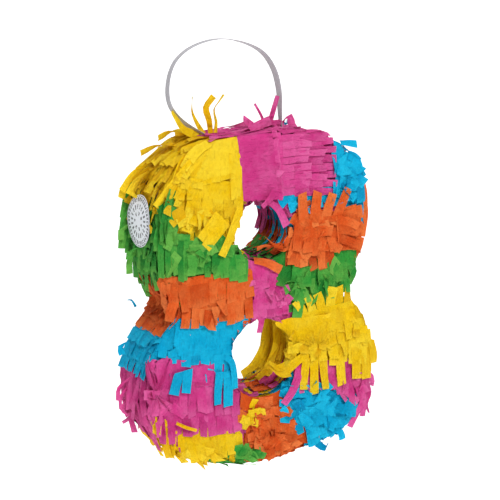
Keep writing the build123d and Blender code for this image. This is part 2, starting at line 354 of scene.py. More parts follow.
def lay_band(paper, start, end, heading_start, heading_end, header, length, height, style, width=9.0):
    """A band of tissue: an uncut header glued along start-end, then strips cut side by side."""
    start, end = Vector(start), Vector(end)
    count = max(1, round((end - start).length / width))
    steps = max(1, round(header / STEP)) if header > 0 else 0
    edges = []
    for i in range(2 * count + 1):
        share = i / (2 * count)
        p = start.lerp(end, share)
        heading = heading_start.lerp(heading_end, share).normalized()
        gap, out = away_from_card(p)
        p = settle(p - out * gap, height)
        line = [p]
        for k in range(steps):
            p, heading, out = lay_step(p, heading, height, 0.0, style["droop"] / 2, header / steps)
            line.append(p)
        edges.append((line, heading))
    if steps:
        lines = [[line[k] for line, heading in edges] for k in range(steps + 1)]
        paper.grid(lines, new_tone(0.25), (end - start).length, header, tip=False)
    if length <= 0:
        return
    for i in range(count):
        (line_a, heading_a), (line_b, heading_b) = edges[2 * i], edges[2 * i + 2]
        middle = edges[2 * i + 1][0][-1]
        half = line_b[-1] - line_a[-1]
        if half.length < 0.5:
            continue
        half = half.normalized() * width * style["cover"] * rng.uniform(0.93, 1.07)
        heading = (heading_a + heading_b).normalized()
        own_length = length * rng.uniform(0.9, 1.1)
        lay_strip(paper, middle - half, middle + half, heading, own_length, height + LAYER * (i % 2), style)


def lay_rosette(paper, height, centre, reach, angle_from, angle_to, pleats, length, width, style):
    """A pinched gather: uneven pleats from a knot at centre, cut into strips at the rim."""
    centre = Vector((centre[0], -FACE_Y, centre[1]))
    rays = max(10, pleats * 6)
    steps = max(3, round(reach / 5))
    phase = rng.uniform(0, 6)
    shift = Vector((rng.uniform(-9, 9), 0, rng.uniform(-9, 9)))
    fan = []
    for i in range(rays + 1):
        share = i / rays
        heading = flat_heading(angle_from + (angle_to - angle_from) * share)
        uneven = noise.noise(Vector((share * pleats * 0.8, phase, 0)))
        wave = abs(math.sin(math.pi * pleats * (share + uneven * 0.12) + phase))
        own_reach = reach * (1 + 0.3 * uneven)
        p = centre + heading * 2.5
        gap, out = away_from_card(p)
        p = settle(p - out * gap, height + 3)
        line = [p]
        for k in range(1, steps + 1):
            along = k / steps
            bend = noise.noise((p + shift) / 14)
            rise = 3 * (1 - along) ** 2 + 5.0 * wave * math.sin(math.pi * min(1, along + 0.1)) ** 0.7
            rise += 2.2 * abs(bend)
            turned = Matrix.Rotation(bend * 0.35, 3, out) @ heading
            p, heading, out = lay_step(p, turned, height + rise, 0.0, 0.02, own_reach / steps)
            line.append(p)
        fan.append((line, heading))
    lines = [[line[k] for line, heading in fan] for k in range(steps + 1)]
    turn = abs(math.radians(angle_to - angle_from))
    paper.grid(lines, new_tone(0.2), reach * turn, reach, tip=False)
    if length <= 0:
        return
    rim = max(1, round(reach * turn / width))
    for i in range(rim):
        ray = round((i + 0.5) / rim * rays)
        line, heading = fan[ray]
        root = line[-1]
        half = fan[min(rays, ray + 1)][0][-1] - root
        if half.length < 0.2:
            continue
        half = half.normalized() * width / 2
        own_length = length * rng.uniform(0.75, 1.15)
        lay_strip(paper, root - half, root + half, heading, own_length, height + 0.4 * (i % 3), style)


def lay_leaves(paper, height, centre, spread, count, flow, fan, length, width):
    """Crumpled snippets strewn about a place on the front."""
    for k in range(count):
        own_height = height + 0.15 * (k % 6)
        x = centre[0] + rng.uniform(-1, 1) * spread[0]
        z = centre[1] + rng.uniform(-1, 1) * spread[1]
        heading = flat_heading(flow + rng.gauss(0, fan))
        side = Vector((0, 1, 0)).cross(heading).normalized() * width * rng.uniform(0.38, 0.6)
        middle = settle(Vector((x, -FACE_Y, z)), own_height)
        own_length = length * rng.uniform(0.7, 1.2)
        lay_strip(paper, middle - side, middle + side, heading, own_length, own_height, WILD)


def square_to(way, along):
    """The part of one direction that is square to another."""
    return way - along * along.dot(way)


FREE_LEVEL = Vector((1, 0.35, 0.2))      # how a free strip's width lies, before it turns
FREE_UPRIGHT = Vector((0, 0.4, 1))       # the same for a strip that runs along the first


def lay_free(paper, points, width, spin):
    """A strip that hangs or stands free through the given points."""
    route = [Vector(p) for p in points]
    ends = [route[0] * 2 - route[1]] + route + [route[-1] * 2 - route[-2]]
    line = []
    for a, b, c, d in zip(ends, ends[1:], ends[2:], ends[3:]):
        bend, twist = a * 2 - b * 5 + c * 4 - d, b * 3 - a - c * 3 + d
        pieces = max(2, round((c - b).length / 5))
        for k in range(pieces):
            t = k / pieces
            line.append((b * 2 + (c - a) * t + bend * t * t + twist * t**3) / 2)
    line.append(route[-1])
    lines = []
    length = 0.0
    for k, p in enumerate(line):
        before, after = line[max(k - 1, 0)], line[min(k + 1, len(line) - 1)]
        along = (after - before).normalized()
        length += (p - before).length
        level = square_to(FREE_LEVEL, along)
        if level.length < 0.3:
            level = square_to(FREE_UPRIGHT, along)
        turn = math.radians(spin * k / len(line))
        across = Matrix.Rotation(turn, 3, along) @ level.normalized() * width / 2
        fold = along.cross(across).normalized() * (0.8 + 0.6 * math.sin(k * 1.3))
        lines.append([p - across, p + fold, p + across])
    paper.grid(lines, new_tone(0.35), width, length)


def flat_heading(angle):
    """A direction on the front, in degrees: 0 is to the right, 90 is up."""
    return Vector((math.cos(math.radians(angle)), 0, math.sin(math.radians(angle))))


# ---- pieces of paper, one for each colour patch ----
PAPERS = {}
for node_name in FRINGE_NODES:
    patch_name = node_name[len("fringe_"):]
    PAPERS[patch_name] = Paper("tissue_" + patch_name, patch_name.split("_")[0])
FLAP = Paper("tissue_flap", "green")
CREASE = Paper("tissue_over_crease", "yellow")
FLAP_LOW, FLAP_HIGH = drawing_box("fill_flap")
FLAP_FRINGE_TOP = drawing_box("flap_fringe")[1].z
CREASE_Z = FLAP_HIGH.z
SEAL_LOW, SEAL_HIGH = drawing_box("seal_sticker")
SEAL_Z = (SEAL_LOW.z + SEAL_HIGH.z) / 2
SEAL_R = (SEAL_HIGH.z - SEAL_LOW.z) / 2
SEAL_HEIGHT = 6.6        # of the label over the card
CREASE_REACH = 30.0      # the piece over the crease takes the strips rooted this far above it


def side_paper(p):
    """The piece that a strip rooted on the outer wall belongs to."""
    beside = FLAP_LOW.y - 1 < p.y < FLAP_HIGH.y + 1 and p.x < 0
    if beside and FLAP_LOW.z < p.z <= FLAP_FRINGE_TOP:
        return FLAP
    if beside and FLAP_FRINGE_TOP < p.z < CREASE_Z + CREASE_REACH:
        return CREASE
    return PAPERS[patch_at(p)]


# ---- automatic rows: an under layer on the front, the whole back, the outer wall, the hole walls ----
LOWEST_ROW = 14.0
TOP_MARGIN = 6.0
FACE_STRIP = 9.5         # width
LONGEST_RUN = 8          # strips in one piece of tissue


def face_rows(toward, spacing, height, length, style):
    """Hanging rows over the front (toward -1) or the back (toward 1)."""
    y = toward * FACE_Y
    z = LOWEST_ROW
    while z < PANEL_HIGH.z - TOP_MARGIN:
        x = PANEL_LOW.x + rng.uniform(0, FACE_STRIP)
        run = []
        while x < PANEL_HIGH.x + FACE_STRIP:
            inside = on_card(x, z) and x < PANEL_HIGH.x
            name = patch_at((x, y, z)) if inside else None
            if run and (name != run[-1][1] or len(run) >= LONGEST_RUN):
                lay_run(run, y, z, height, length, style)
                run = run[-1:] if name == run[-1][1] else []
            if name:
                run.append((x, name))
            x += FACE_STRIP
        if run:
            lay_run(run, y, z, height, length, style)
        z += spacing * rng.uniform(0.85, 1.15)


def lay_run(run, y, z, height, length, style):
    """One stretch of a row that is a single colour."""
    (x0, name), (x1, _) = run[0], run[-1]
    slope = rng.uniform(-3, 3)
    lay_band(PAPERS[name], (x0 - 4, y, z - slope), (x1 + 4, y, z + slope),
             flat_heading(-90 + rng.uniform(-12, 12)), flat_heading(-90 + rng.uniform(-12, 12)),
             5, length * rng.uniform(0.85, 1.1), height, style)


# how long the strips on the walls are at each height, as a share of the full length
LONG_ABOVE = 362.0
SMOOTH_BELOW = 196.0
SHORT_BELOW = 130.0
NEAR_BOTTOM = 34.0
MIDDLE_SHARE = 0.6
SMOOTH_SHARE = 0.65
BOTTOM_SHARE = 0.55
CREASE_MARGIN = 3.0      # between the tips above the flap and its crease
WALL_STRIP = 8.5         # width


def wall_rows(points, spacing, height, length, style):
    """Rows across the depth of a wall that follows points, each row flowing towards the next point."""
    travelled = spacing
    level = 0
    for before, after in zip(points, points[1:]):
        travelled += (after - before).length
        if travelled < spacing:
            continue
        travelled -= spacing * rng.uniform(0.9, 1.1)
        level += 1
        heading = (after - before).normalized()
        depth = HALF_DEPTH - 1
        cuts = (-depth, FLAP_LOW.y - 1, FLAP_HIGH.y + 1, depth)
        for low, high in zip(cuts, cuts[1:]):
            middle = before + Vector((0, (low + high) / 2, 0))
            paper = side_paper(middle)
            start, end = before + Vector((0, low, 0)), before + Vector((0, high, 0))
            own_length, own_style = length, style
            if SHORT_BELOW < before.z < LONG_ABOVE:
                own_length *= MIDDLE_SHARE
            if SHORT_BELOW < before.z < SMOOTH_BELOW:
                own_style = SHEET
                own_length *= SMOOTH_SHARE
            above_flap = middle.z - CREASE_Z - CREASE_MARGIN
            over_flap = before.x < 0 and abs(middle.y) < FLAP_HIGH.y
            if over_flap and CREASE_REACH - CREASE_MARGIN < above_flap < own_length:
                own_length = above_flap
            if before.z < NEAR_BOTTOM:
                own_length, own_style = length * BOTTOM_SHARE, CALM
            lay_band(paper, start, end, heading, heading, 4, own_length * rng.uniform(0.85, 1.1),
                     height + 0.5 * (level % 2), own_style, WALL_STRIP)


NEAREST_OUTLINE, FURTHEST_OUTLINE = 60.0, 260.0


def outline_run(angle_from, angle_to, count=240):
    """Points on the outer outline, seen from the middle of the 8, between two angles in degrees."""
    centre = Vector((0, 0, MIDDLE_Z))
    points = []
    for k in range(count + 1):
        ray = flat_heading(angle_from + (angle_to - angle_from) * k / count)
        low, high = NEAREST_OUTLINE, FURTHEST_OUTLINE
        for _ in range(24):
            middle = (low + high) / 2
            p = centre + ray * middle
            low, high = (middle, high) if outline_distance(p.x, p.z) < 0 else (low, middle)
        points.append(centre + ray * low)
    return points


def hole_run(centre_z, radius, straight, angle_from, angle_to, count=60):
    """Points round a hole's wall between two angles in degrees, 0 to the right and 90 up."""
    points = []
    for k in range(count + 1):
        angle = math.radians(angle_from + (angle_to - angle_from) * k / count)
        lift = straight * max(-1, min(1, 3 * math.sin(angle)))
        points.append(Vector((radius * math.cos(angle), 0, centre_z + lift + radius * math.sin(angle))))
    return points


TOP_SEAM, BOTTOM_SEAM = 97.0, 263.0      # where the left and right rows meet, seen from the middle
HOLE_SEAM = 95.0
INTO_HOLE = 1.0


def lay_automatic_rows():
    face_rows(1, spacing=19, height=2.0, length=44, style=PLAIN)
    face_rows(-1, spacing=21, height=1.6, length=30, style=FLAT)
    left = outline_run(TOP_SEAM, BOTTOM_SEAM)
    right = list(reversed(outline_run(BOTTOM_SEAM - 360, TOP_SEAM)))
    # the left outer wall's strips get painted shade from their style
    wall_rows(left, spacing=17, height=2.0, length=42, style=SHADED_SIDE)
    wall_rows(right, spacing=17, height=2.0, length=40, style=LOOSE)
    for z, radius, straight in (
        (UPPER_HOLE_Z, UPPER_HOLE_R - INTO_HOLE, 0),
        (LOWER_HOLE_Z, LOWER_HOLE_R - INTO_HOLE, LOWER_HOLE_STRAIGHT),
    ):
        for half_turn in (-180, 180):
            run = hole_run(z, radius, straight, HOLE_SEAM, HOLE_SEAM + half_turn)
            # the hole walls' strips get painted shade from their style
            wall_rows(run, spacing=15, height=1.0, length=26, style=SHADED_HOLE)


# ---- work laid on the front one by one, in order from the card outwards ----
# band: patch, header line from and to as x and z, flow angle at each end, header depth,
#       strip length, style, strip width; over is the same, laid high on top
# rosette: patch, centre, reach, angles from and to, pleats, strip length, strip width, style
# leaves: patch, centre, spread, count, flow angle, fan of the angles, length, width
FRONT_WORK = [
    ("band", "green_bottom", (-98, 34), (-76, 12), -22, -14, 20, 40, PLAIN, 9),
    ("band", "green_bottom", (-52, 24), (-46, 8), -8, 2, 12, 34, PLAIN, 8),
    ("leaves", "green_bottom", (-30, 16), (16, 4), 7, 10, 30, 16, 9),
    ("band", "yellow_bottom_left", (-128, 42), (-66, 28), -118, -84, 5, 26, PLAIN, 9),
    ("band", "yellow_bottom_left", (-150, 84), (-96, 62), -118, -72, 8, 40, LOOSE, 10),
    ("band", "yellow_bottom_left", (-104, 60), (-30, 50), -88, -82, 8, 27, CALM, 11),
    ("band", "yellow_bottom_left", (-104, 68), (-80, 54), -58, -66, 3, 34, PLAIN, 11),
    ("leaves", "yellow_bottom_left", (-80, 38), (34, 8), 8, -70, 25, 26, 10),
    ("band", "pink_left", (-118, 82), (-30, 74), -92, -90, 8, 22, CALM, 11),
    ("band", "pink_left", (-122, 120), (-30, 106), -92, -89, 6, 34, CALM, 11),
    ("band", "pink_left", (-122, 146), (-36, 130), -91, -89, 26, 4, CALM, 11),
    ("band", "pink_left", (-150, 88), (-118, 84), -112, -74, 6, 34, LOOSE, 10),
    ("band", "cyan_left", (-152, 190), (-104, 192), -102, -92, 32, 8, PLAIN, 11),
    ("band", "cyan_left", (-66, 152), (-28, 150), -92, -89, 8, 27, CALM, 11),
    ("band", "cyan_left", (-118, 192), (-20, 186), -94, -90, 44, 12, CALM, 12),
    ("over", "cyan_left", (-118, 130), (-94, 132), -104, -97, 0, 27, CALM, 12),
    ("over", "cyan_left", (-65, 124), (-43, 122), -98, -88, 0, 39, CALM, 11),
    ("rosette", "pink_left", (-142, 110), 41, 42, 128, 4, 0, 9, PLAIN),
    ("rosette", "pink_left", (-142, 108), 26, 230, 322, 4, 26, 12, PLAIN),
    ("leaves", "pink_left", (-141, 110), (6, 4), 4, 190, 40, 16, 11),
    ("band", "orange_bottom", (-32, 92), (34, 86), -96, -78, 20, 14, PLAIN, 12),
    ("leaves", "orange_bottom", (8, 70), (22, 8), 7, -60, 60, 18, 13),
    ("band", "orange_bottom", (-22, 62), (44, 56), -94, -66, 26, 8, PLAIN, 12),
    ("leaves", "yellow_bottom", (-18, 66), (10, 7), 10, -20, 50, 14, 11),
    ("band", "orange_bottom", (18, 56), (30, 20), -16, -6, 42, 8, CALM, 13),
    ("leaves", "orange_bottom", (20, 22), (22, 4), 5, 8, 20, 14, 12),
    ("rosette", "orange_bottom", (10, 38), 20, 0, 350, 5, 12, 12, PLAIN),
    ("leaves", "orange_bottom", (4, 34), (16, 12), 9, 120, 60, 15, 13),
    ("band", "cyan_bottom_right", (60, 44), (118, 52), -84, -62, 4, 30, PLAIN, 9),
    ("band", "cyan_bottom_right", (34, 76), (112, 78), -76, -56, 34, 14, PLAIN, 11),
    ("band", "cyan_bottom_right", (70, 42), (92, 70), -20, -8, 28, 6, CALM, 14),
    ("leaves", "cyan_bottom_right", (58, 64), (34, 18), 18, 60, 45, 20, 13),
    ("leaves", "cyan_bottom_right", (80, 46), (22, 16), 10, -30, 45, 24, 14),
    ("band", "pink_right", (48, 118), (152, 114), -94, -88, 18, 20, PLAIN, 10),
    ("leaves", "pink_right", (122, 92), (22, 14), 10, -80, 30, 26, 10),
    ("band", "pink_right", (118, 98), (152, 98), -100, -86, 2, 40, LOOSE, 8),
    ("leaves", "cyan_bottom_right", (58, 78), (26, 4), 8, 88, 24, 15, 11),
    ("band", "green_right", (34, 248), (127, 250), -98, -84, 40, 8, PLAIN, 12),
    ("leaves", "green_right", (70, 228), (36, 14), 20, -100, 45, 26, 15),
    ("band", "green_right", (98, 244), (124, 242), -82, -72, 8, 26, CALM, 13),
    ("over", "yellow_right", (52, 170), (118, 178), 118, 78, 10, 23, PLAIN, 12),
    ("over", "yellow_right", (24, 176), (148, 184), -98, -86, 32, 14, PLAIN, 12),
    ("over", "yellow_right", (90, 150), (153, 146), -92, -87, 10, 28, CALM, 12),
    ("over", "yellow_right", (26, 150), (96, 152), -104, -84, 14, 18, PLAIN, 12),
    ("over", "yellow_right", (98, 182), (152, 174), -90, -86, 14, 26, CALM, 12),
    ("rosette", "yellow_right", (68, 138), 30, 10, 175, 5, 12, 12, PLAIN),
    ("over", "yellow_right", (52, 124), (84, 126), -104, -78, 0, 43, PLAIN, 12),
    ("over", "yellow_right", (62, 148), (60, 124), 182, 202, 6, 38, PLAIN, 12),
    ("over", "yellow_right", (97, 126), (109, 126), -88, -86, 0, 44, CALM, 12),
    ("over", "yellow_right", (120, 130), (146, 126), -88, -86, 0, 38, CALM, 14),
    ("leaves", "yellow_right", (80, 160), (30, 14), 7, -80, 60, 26, 14),
    ("over", "green_right", (37, 240), (62, 236), -98, -88, 12, 12, CALM, 12),
    ("over", "green_right", (40, 212), (56, 210), -101, -98, 0, 37, CALM, 13),
    ("leaves", "green_right", (52, 216), (12, 8), 5, -100, 30, 24, 14),
    ("band", "pink_centre", (-26, 254), (20, 242), -80, -80, 24, 8, PLAIN, 10),
    ("band", "pink_centre", (-14, 228), (32, 218), -88, -80, 24, 4, CALM, 10),
    ("band", "pink_centre", (-14, 204), (32, 204), -96, -86, 14, 9, CALM, 10),
    ("leaves", "pink_centre", (24, 200), (3, 12), 4, -10, 30, 9, 10),
    ("leaves", "pink_centre", (6, 226), (12, 12), 4, -60, 20, 24, 10),
    ("band", "orange_left", (-142, 238), (-104, 228), -126, -110, 8, 36, LOOSE, 12),
    ("band", "orange_left", (-106, 212), (-16, 214), -96, -86, 6, 25, CALM, 11),
    ("band", "orange_left", (-140, 248), (-100, 240), -108, -94, 8, 34, PLAIN, 11),
    ("band", "orange_left", (-106, 240), (-16, 242), -93, -86, 10, 25, CALM, 12),
    ("leaves", "orange_left", (-76, 204), (32, 6), 6, -88, 16, 24, 12),
    ("band", "green_left", (-134, 296), (-96, 290), -98, -92, 8, 44, PLAIN, 8),
    ("band", "green_left", (-134, 332), (-112, 330), -96, -90, 6, 44, PLAIN, 9),
    ("band", "green_left", (-100, 284), (-22, 268), -94, -87, 12, 26, CALM, 12),
    ("band", "green_left", (-68, 264), (-24, 258), -92, -88, 4, 25, CALM, 12),
    ("leaves", "green_left", (-86, 276), (26, 14), 16, -70, 50, 26, 15),
    ("leaves", "green_left", (-122, 318), (9, 14), 7, -100, 25, 34, 13),
    ("band", "cyan_right", (8, 334), (56, 322), -52, -56, 15, 9, PLAIN, 11),
    ("band", "cyan_right", (30, 328), (100, 330), -84, -80, 18, 6, PLAIN, 11),
    ("band", "cyan_right", (100, 346), (134, 336), -108, -90, 8, 24, PLAIN, 12),
    ("band", "cyan_right", (92, 386), (96, 332), -8, -40, 16, 22, PLAIN, 12),
    ("leaves", "cyan_right", (108, 350), (13, 22), 13, -40, 30, 24, 14),
    ("band", "orange_right", (40, 302), (132, 298), -90, -88, 40, 8, PLAIN, 12),
    ("band", "orange_right", (96, 300), (100, 256), 12, -14, 30, 6, CALM, 14),
    ("band", "orange_right", (36, 274), (92, 262), -104, -76, 6, 29, PLAIN, 12),
    ("band", "orange_right", (92, 286), (94, 260), 4, -24, 20, 16, CALM, 13),
    ("leaves", "orange_right", (66, 264), (24, 6), 6, -85, 20, 26, 13),
    ("rosette", "orange_right", (62, 284), 20, 0, 350, 4, 8, 12, PLAIN),
    ("band", "orange_right", (42, 284), (56, 268), -116, -100, 2, 34, CALM, 12),
    ("band", "orange_right", (74, 290), (76, 268), 8, 0, 6, 28, CALM, 12),
    ("band", "yellow_top_left", (-124, 362), (-84, 352), -112, -104, 12, 14, PLAIN, 12),
    ("band", "yellow_top_left", (-100, 330), (-34, 318), -104, -88, 8, 20, PLAIN, 12),
    ("band", "yellow_top_left", (-90, 354), (-27, 344), -100, -89, 22, 20, CALM, 12),
    ("leaves", "yellow_top_left", (-88, 312), (16, 8), 8, -90, 50, 20, 13),
    ("band", "yellow_top_left", (-110, 360), (-86, 386), 228, 212, 6, 44, LOOSE, 12),
    ("band", "yellow_top_left", (-94, 356), (-66, 390), 230, 202, 4, 42, PLAIN, 12),
    ("band", "yellow_top_left", (-98, 378), (-56, 400), 214, 186, 6, 40, LOOSE, 12),
    ("band", "yellow_top_left", (-46, 380), (-30, 378), -90, -90, 8, 44, CALM, 8),
    ("band", "yellow_top_left", (-99, 390), (-33, 399), -104, -90, 42, 6, CALM, 12),
    ("band", "pink_top_right", (58, 398), (60, 322), 5, -5, 0, 35, LINED, 9),
    ("band", "pink_top_right", (38, 402), (40, 322), 6, -2, 0, 40, LINED, 9),
    ("band", "pink_top_right", (12, 404), (16, 324), 7, 0, 10, 36, LINED, 9),
    ("band", "pink_top_right", (-36, 400), (-27, 322), 3, 0, 46, 6, CALM, 9),
    ("over", "yellow_top_left", (-64, 314), (-48, 298), -136, -134, 0, 36, CALM, 13),
    ("over", "orange_right", (44, 286), (100, 288), 100, 62, 8, 32, CALM, 13),
    ("over", "orange_right", (94, 294), (98, 262), 8, -18, 2, 32, PLAIN, 11),
    ("over", "orange_right", (38, 292), (66, 288), -104, -92, 0, 34, PLAIN, 12),
    ("over", "orange_right", (58, 284), (58, 272), 5, 1, 0, 34, CALM, 12),
    ("leaves", "orange_right", (70, 286), (18, 6), 5, 20, 60, 18, 13),
]
UNDER_HEIGHT = 2.6       # of the first piece of work over the card
RISE = 0.042             # from each piece of work to the next
OVER_LIFT = 3.2
LEAF_LIFT = 1.0


def lay_front_work():
    for order, (kind, name, *work) in enumerate(FRONT_WORK):
        paper, height = PAPERS[name], UNDER_HEIGHT + RISE * order
        if kind == "rosette":
            lay_rosette(paper, height, *work)
        elif kind == "leaves":
            lay_leaves(paper, height + LEAF_LIFT, *work)
        else:
            (x0, z0), (x1, z1), flow_from, flow_to, header, length, style, width = work
            lay_band(paper, (x0, -FACE_Y, z0), (x1, -FACE_Y, z1), flat_heading(flow_from),
                     flat_heading(flow_to), header, length, height + (OVER_LIFT if kind == "over" else 0),
                     style, width)


# ---- strips in the holes ----
# patch, root line from and to, heading, header depth, strip length, style
HOLE_WORK = [
    ("pink_top_right", (13, -2, 323), (13, 36, 323), (0.9, 0, -0.45), 10, 46, SHADED_HOLE),
    ("pink_top_right", (28, 4, 314), (28, 36, 314), (0.7, 0, -0.7), 4, 44, SHADED_HOLE),
    ("cyan_right", (32, -34, 309), (34, 2, 306), (0.5, 0, -0.86), 4, 44, SHADED_HOLE),
    ("green_right", (38, -30, 262), (36, 30, 262), (-0.6, 0, -0.8), 3, 26, SHADED_HOLE),
    ("orange_right", (40, -34, 280), (40, -8, 280), (-0.3, 0, -0.95), 3, 30, SHADED_HOLE),
    ("yellow_right", (22, -34, 176), (22, 36, 176), (0.75, 0, -0.66), 8, 56, SHADED_HOLE),
    ("yellow_right", (40, -34, 160), (42, 36, 160), (0.1, 0, -1.0), 10, 60, SHADED_HOLE),
    ("pink_right", (46, -34, 118), (46, 10, 118), (-0.25, 0, -0.97), 6, 36, SHADED_HOLE),
    ("orange_bottom", (30, -30, 92), (28, 20, 92), (-0.8, 0, -0.5), 3, 30, WILD),
    ("pink_left", (-30, -6, 92), (-26, 30, 92), (0.6, 0, -0.6), 3, 24, WILD),
]


def lay_hole_work():
    for order, (name, start, end, heading, header, length, style) in enumerate(HOLE_WORK):
        way = Vector(heading)
        lay_band(PAPERS[name], start, end, way, way, header, length, 3.0 + 0.2 * order, style)


# ---- strips that stand up, hang free or stray ----
# for each patch, or for the piece over the crease: points, width and how far it turns on the way
FREE_STRIPS = [
    ("yellow_top_left", [
        ([(-57, 0, 396), (-67, 0, 412), (-72, 0, 425), (-72, -2, 441)], 8, 50),
        ([(-48, 0, 396), (-50, 0, 412), (-54, 0, 427), (-45, -2, 440)], 8, -40),
        ([(-42, 0, 397), (-41, 0, 410), (-43, 0, 424), (-32, -2, 441)], 7, 60),
        ([(-62, 0, 396), (-84, -4, 404), (-99, -4, 426)], 11, 30),
        ([(-58, 6, 397), (-88, 12, 401), (-110, 12, 394)], 11, 30),
        ([(-86, 4, 386), (-108, 12, 386), (-131, 14, 378)], 10, 40),
    ]),
    ("over_crease", [
        ([(-100, 12, 372), (-136, 14, 358), (-154, 16, 336)], 9, 30),
        ([(-104, 4, 366), (-136, 8, 350), (-150, 12, 328)], 10, 20),
        ([(-118, 18, 360), (-146, 22, 342), (-152, 24, 322)], 9, 30),
    ]),
    ("yellow_top_left", [
        ([(-96, -46, 374), (-118, -46, 352), (-140, -44, 326)], 12, 10),
        ([(-33, -45, 316), (-42, -49, 298), (-49, -50, 282), (-59, -49, 262)], 11, 15),
    ]),
    ("green_left", [
        ([(-130, -42, 296), (-127, -46, 320), (-119, -46, 344)], 15, 15),
        ([(-132, 35, 346), (-138, 36, 324), (-142, 37, 300)], 13, 20),
        ([(-132, 34, 330), (-140, 36, 306), (-144, 36, 280)], 13, 20),
        ([(-134, 34, 314), (-142, 36, 290), (-145, 36, 264)], 12, 30),
    ]),
    ("pink_top_right", [
        ([(26, -4, 400), (30, -6, 415), (37, -6, 436)], 11, 12),
        ([(24, 2, 402), (19, 2, 414), (11, 2, 427)], 5, 20),
        ([(12, 6, 399), (5, 6, 405), (-2, 6, 411)], 11, 30),
        ([(-4, -14, 399), (10, -12, 404), (26, -8, 408)], 11, 10),
        ([(46, 2, 398), (50, 0, 406), (55, -3, 410), (57, -5, 400)], 9, 60),
        ([(24, -2, 400), (34, -4, 404), (44, -2, 402)], 9, 60),
        ([(12, -44, 330), (4, -47, 322), (-5, -46, 314)], 10, 10),
        ([(8, -40, 318), (18, -44, 308), (29, -43, 288)], 10, 20),
    ]),
    ("orange_right", [
        ([(36, -40, 274), (22, -44, 265), (6, -42, 268), (-9, -40, 264)], 10, 40),
        ([(38, -38, 266), (20, -42, 262), (2, -40, 277)], 10, 60),
        ([(-12, -38, 250), (4, -42, 246), (22, -42, 236)], 11, 30),
    ]),
    ("yellow_top_left", [
        ([(-40, -30, 270), (-32, -30, 262), (-22, -28, 256)], 9, 60),
    ]),
    ("cyan_right", [
        ([(104, -38, 380), (114, -40, 379), (126, -40, 377)], 10, 15),
        ([(66, 30, 394), (72, 32, 398), (78, 32, 397)], 6, 30),
        ([(112, -42, 366), (120, -43, 362), (127, -42, 355)], 13, 20),
        ([(120, -42, 350), (128, -43, 344), (134, -41, 336)], 12, 20),
    ]),
    ("orange_right", [
        ([(136, -12, 346), (152, -14, 320), (155, -14, 290)], 9, 20),
        ([(140, -10, 322), (156, -12, 294), (151, -14, 258)], 9, 40),
        ([(138, -10, 298), (143, -14, 274), (139, -16, 248)], 10, 20),
        ([(136, -22, 278), (138, -26, 256), (128, -28, 236)], 9, 20),
    ]),
    ("green_right", [
        ([(118, -36, 236), (124, -38, 222), (118, -36, 208)], 12, 30),
    ]),
    ("yellow_right", [
        ([(30, -40, 118), (16, -46, 118), (6, -44, 126)], 9, 40),
        ([(36, -42, 110), (20, -46, 112), (9, -44, 122)], 12, 20),
        ([(24, 4, 172), (30, 8, 140), (18, 10, 112), (-3, 8, 98)], 15, 20),
        ([(34, -10, 166), (36, -8, 136), (26, -4, 108), (12, -2, 94)], 14, 15),
        ([(38, 14, 160), (40, 18, 126), (28, 18, 100)], 14, 15),
    ]),
    ("pink_right", [
        ([(50, -40, 116), (42, -46, 98), (34, -47, 84), (25, -45, 72)], 12, 25),
        ([(142, -38, 84), (136, -44, 58), (121, -40, 27)], 8, 40),
        ([(144, -34, 86), (143, -40, 62), (139, -40, 38)], 9, 15),
        ([(148, -30, 84), (153, -34, 66), (147, -36, 52), (151, -36, 40)], 5, 120),
        ([(150, -28, 92), (158, -30, 84), (156, -34, 74), (150, -32, 78)], 6, 100),
    ]),
    ("pink_left", [
        ([(-152, 4, 118), (-165, 8, 106), (-166, 10, 90)], 5, 60),
        ([(-150, 10, 108), (-162, 10, 94), (-162, 12, 78)], 4, 80),
        ([(-148, 14, 92), (-160, 12, 78), (-150, 14, 66), (-158, 16, 60)], 5, 140),
        ([(-144, 8, 82), (-150, 8, 66), (-146, 8, 50)], 6, 60),
    ]),
    ("cyan_left", [
        ([(-148, 16, 158), (-158, 18, 152), (-156, 18, 142)], 8, 40),
        ([(-136, 22, 196), (-140, 24, 204), (-146, 24, 205)], 4, 60),
        ([(-52, -42, 140), (-45, -45, 134), (-41, -44, 116), (-40, -43, 100)], 9, 15),
    ]),
    ("cyan_bottom_right", [
        ([(98, -38, 30), (108, -40, 22), (112, -38, 12)], 9, 30),
        ([(74, -38, 14), (86, -38, 6), (92, -38, 10)], 10, 30),
        ([(96, -42, 56), (114, -46, 54), (130, -42, 50)], 22, 5),
    ]),
    ("yellow_bottom_left", [
        ([(-118, -46, 71), (-106, -47, 64), (-92, -46, 58)], 4, 50),
    ]),
    ("pink_centre", [
        ([(-3, -40, 184), (-6, -45, 176), (-8, -44, 164)], 9, 10),
    ]),
    ("green_left", [
        ([(-136, -4, 290), (-150, 0, 276), (-152, 4, 258)], 8, 30),
        ([(-134, 12, 270), (-146, 14, 256), (-146, 16, 238)], 8, 30),
        ([(-134, 24, 302), (-148, 24, 292), (-150, 26, 276)], 8, 30),
    ]),
]


def lay_free_strips():
    for name, strips in FREE_STRIPS:
        for points, width, spin in strips:
            lay_free(PAPERS.get(name, CREASE), points, width, spin)


# ---- limits on where loose tissue may be ----
LOOSE_FRONT = -HALF_DEPTH - 11.5     # tissue further forward than this is squeezed
SQUEEZED = 5.5                       # into this depth
SQUEEZE_SLOPE = 8.0
LEFT_WALL_X = -80.0                  # everything of the flap and the label lies to the left of this
FLAP_WALL_X = -105.0
SEAL_MARGIN = 2.0


def hold_in(paper):
    """Keep the loosest paper from standing further out than real tissue does."""
    for p in paper.points:
        if p.y < LOOSE_FRONT:
            p.y = LOOSE_FRONT - SQUEEZED * math.tanh((LOOSE_FRONT - p.y) / SQUEEZE_SLOPE)


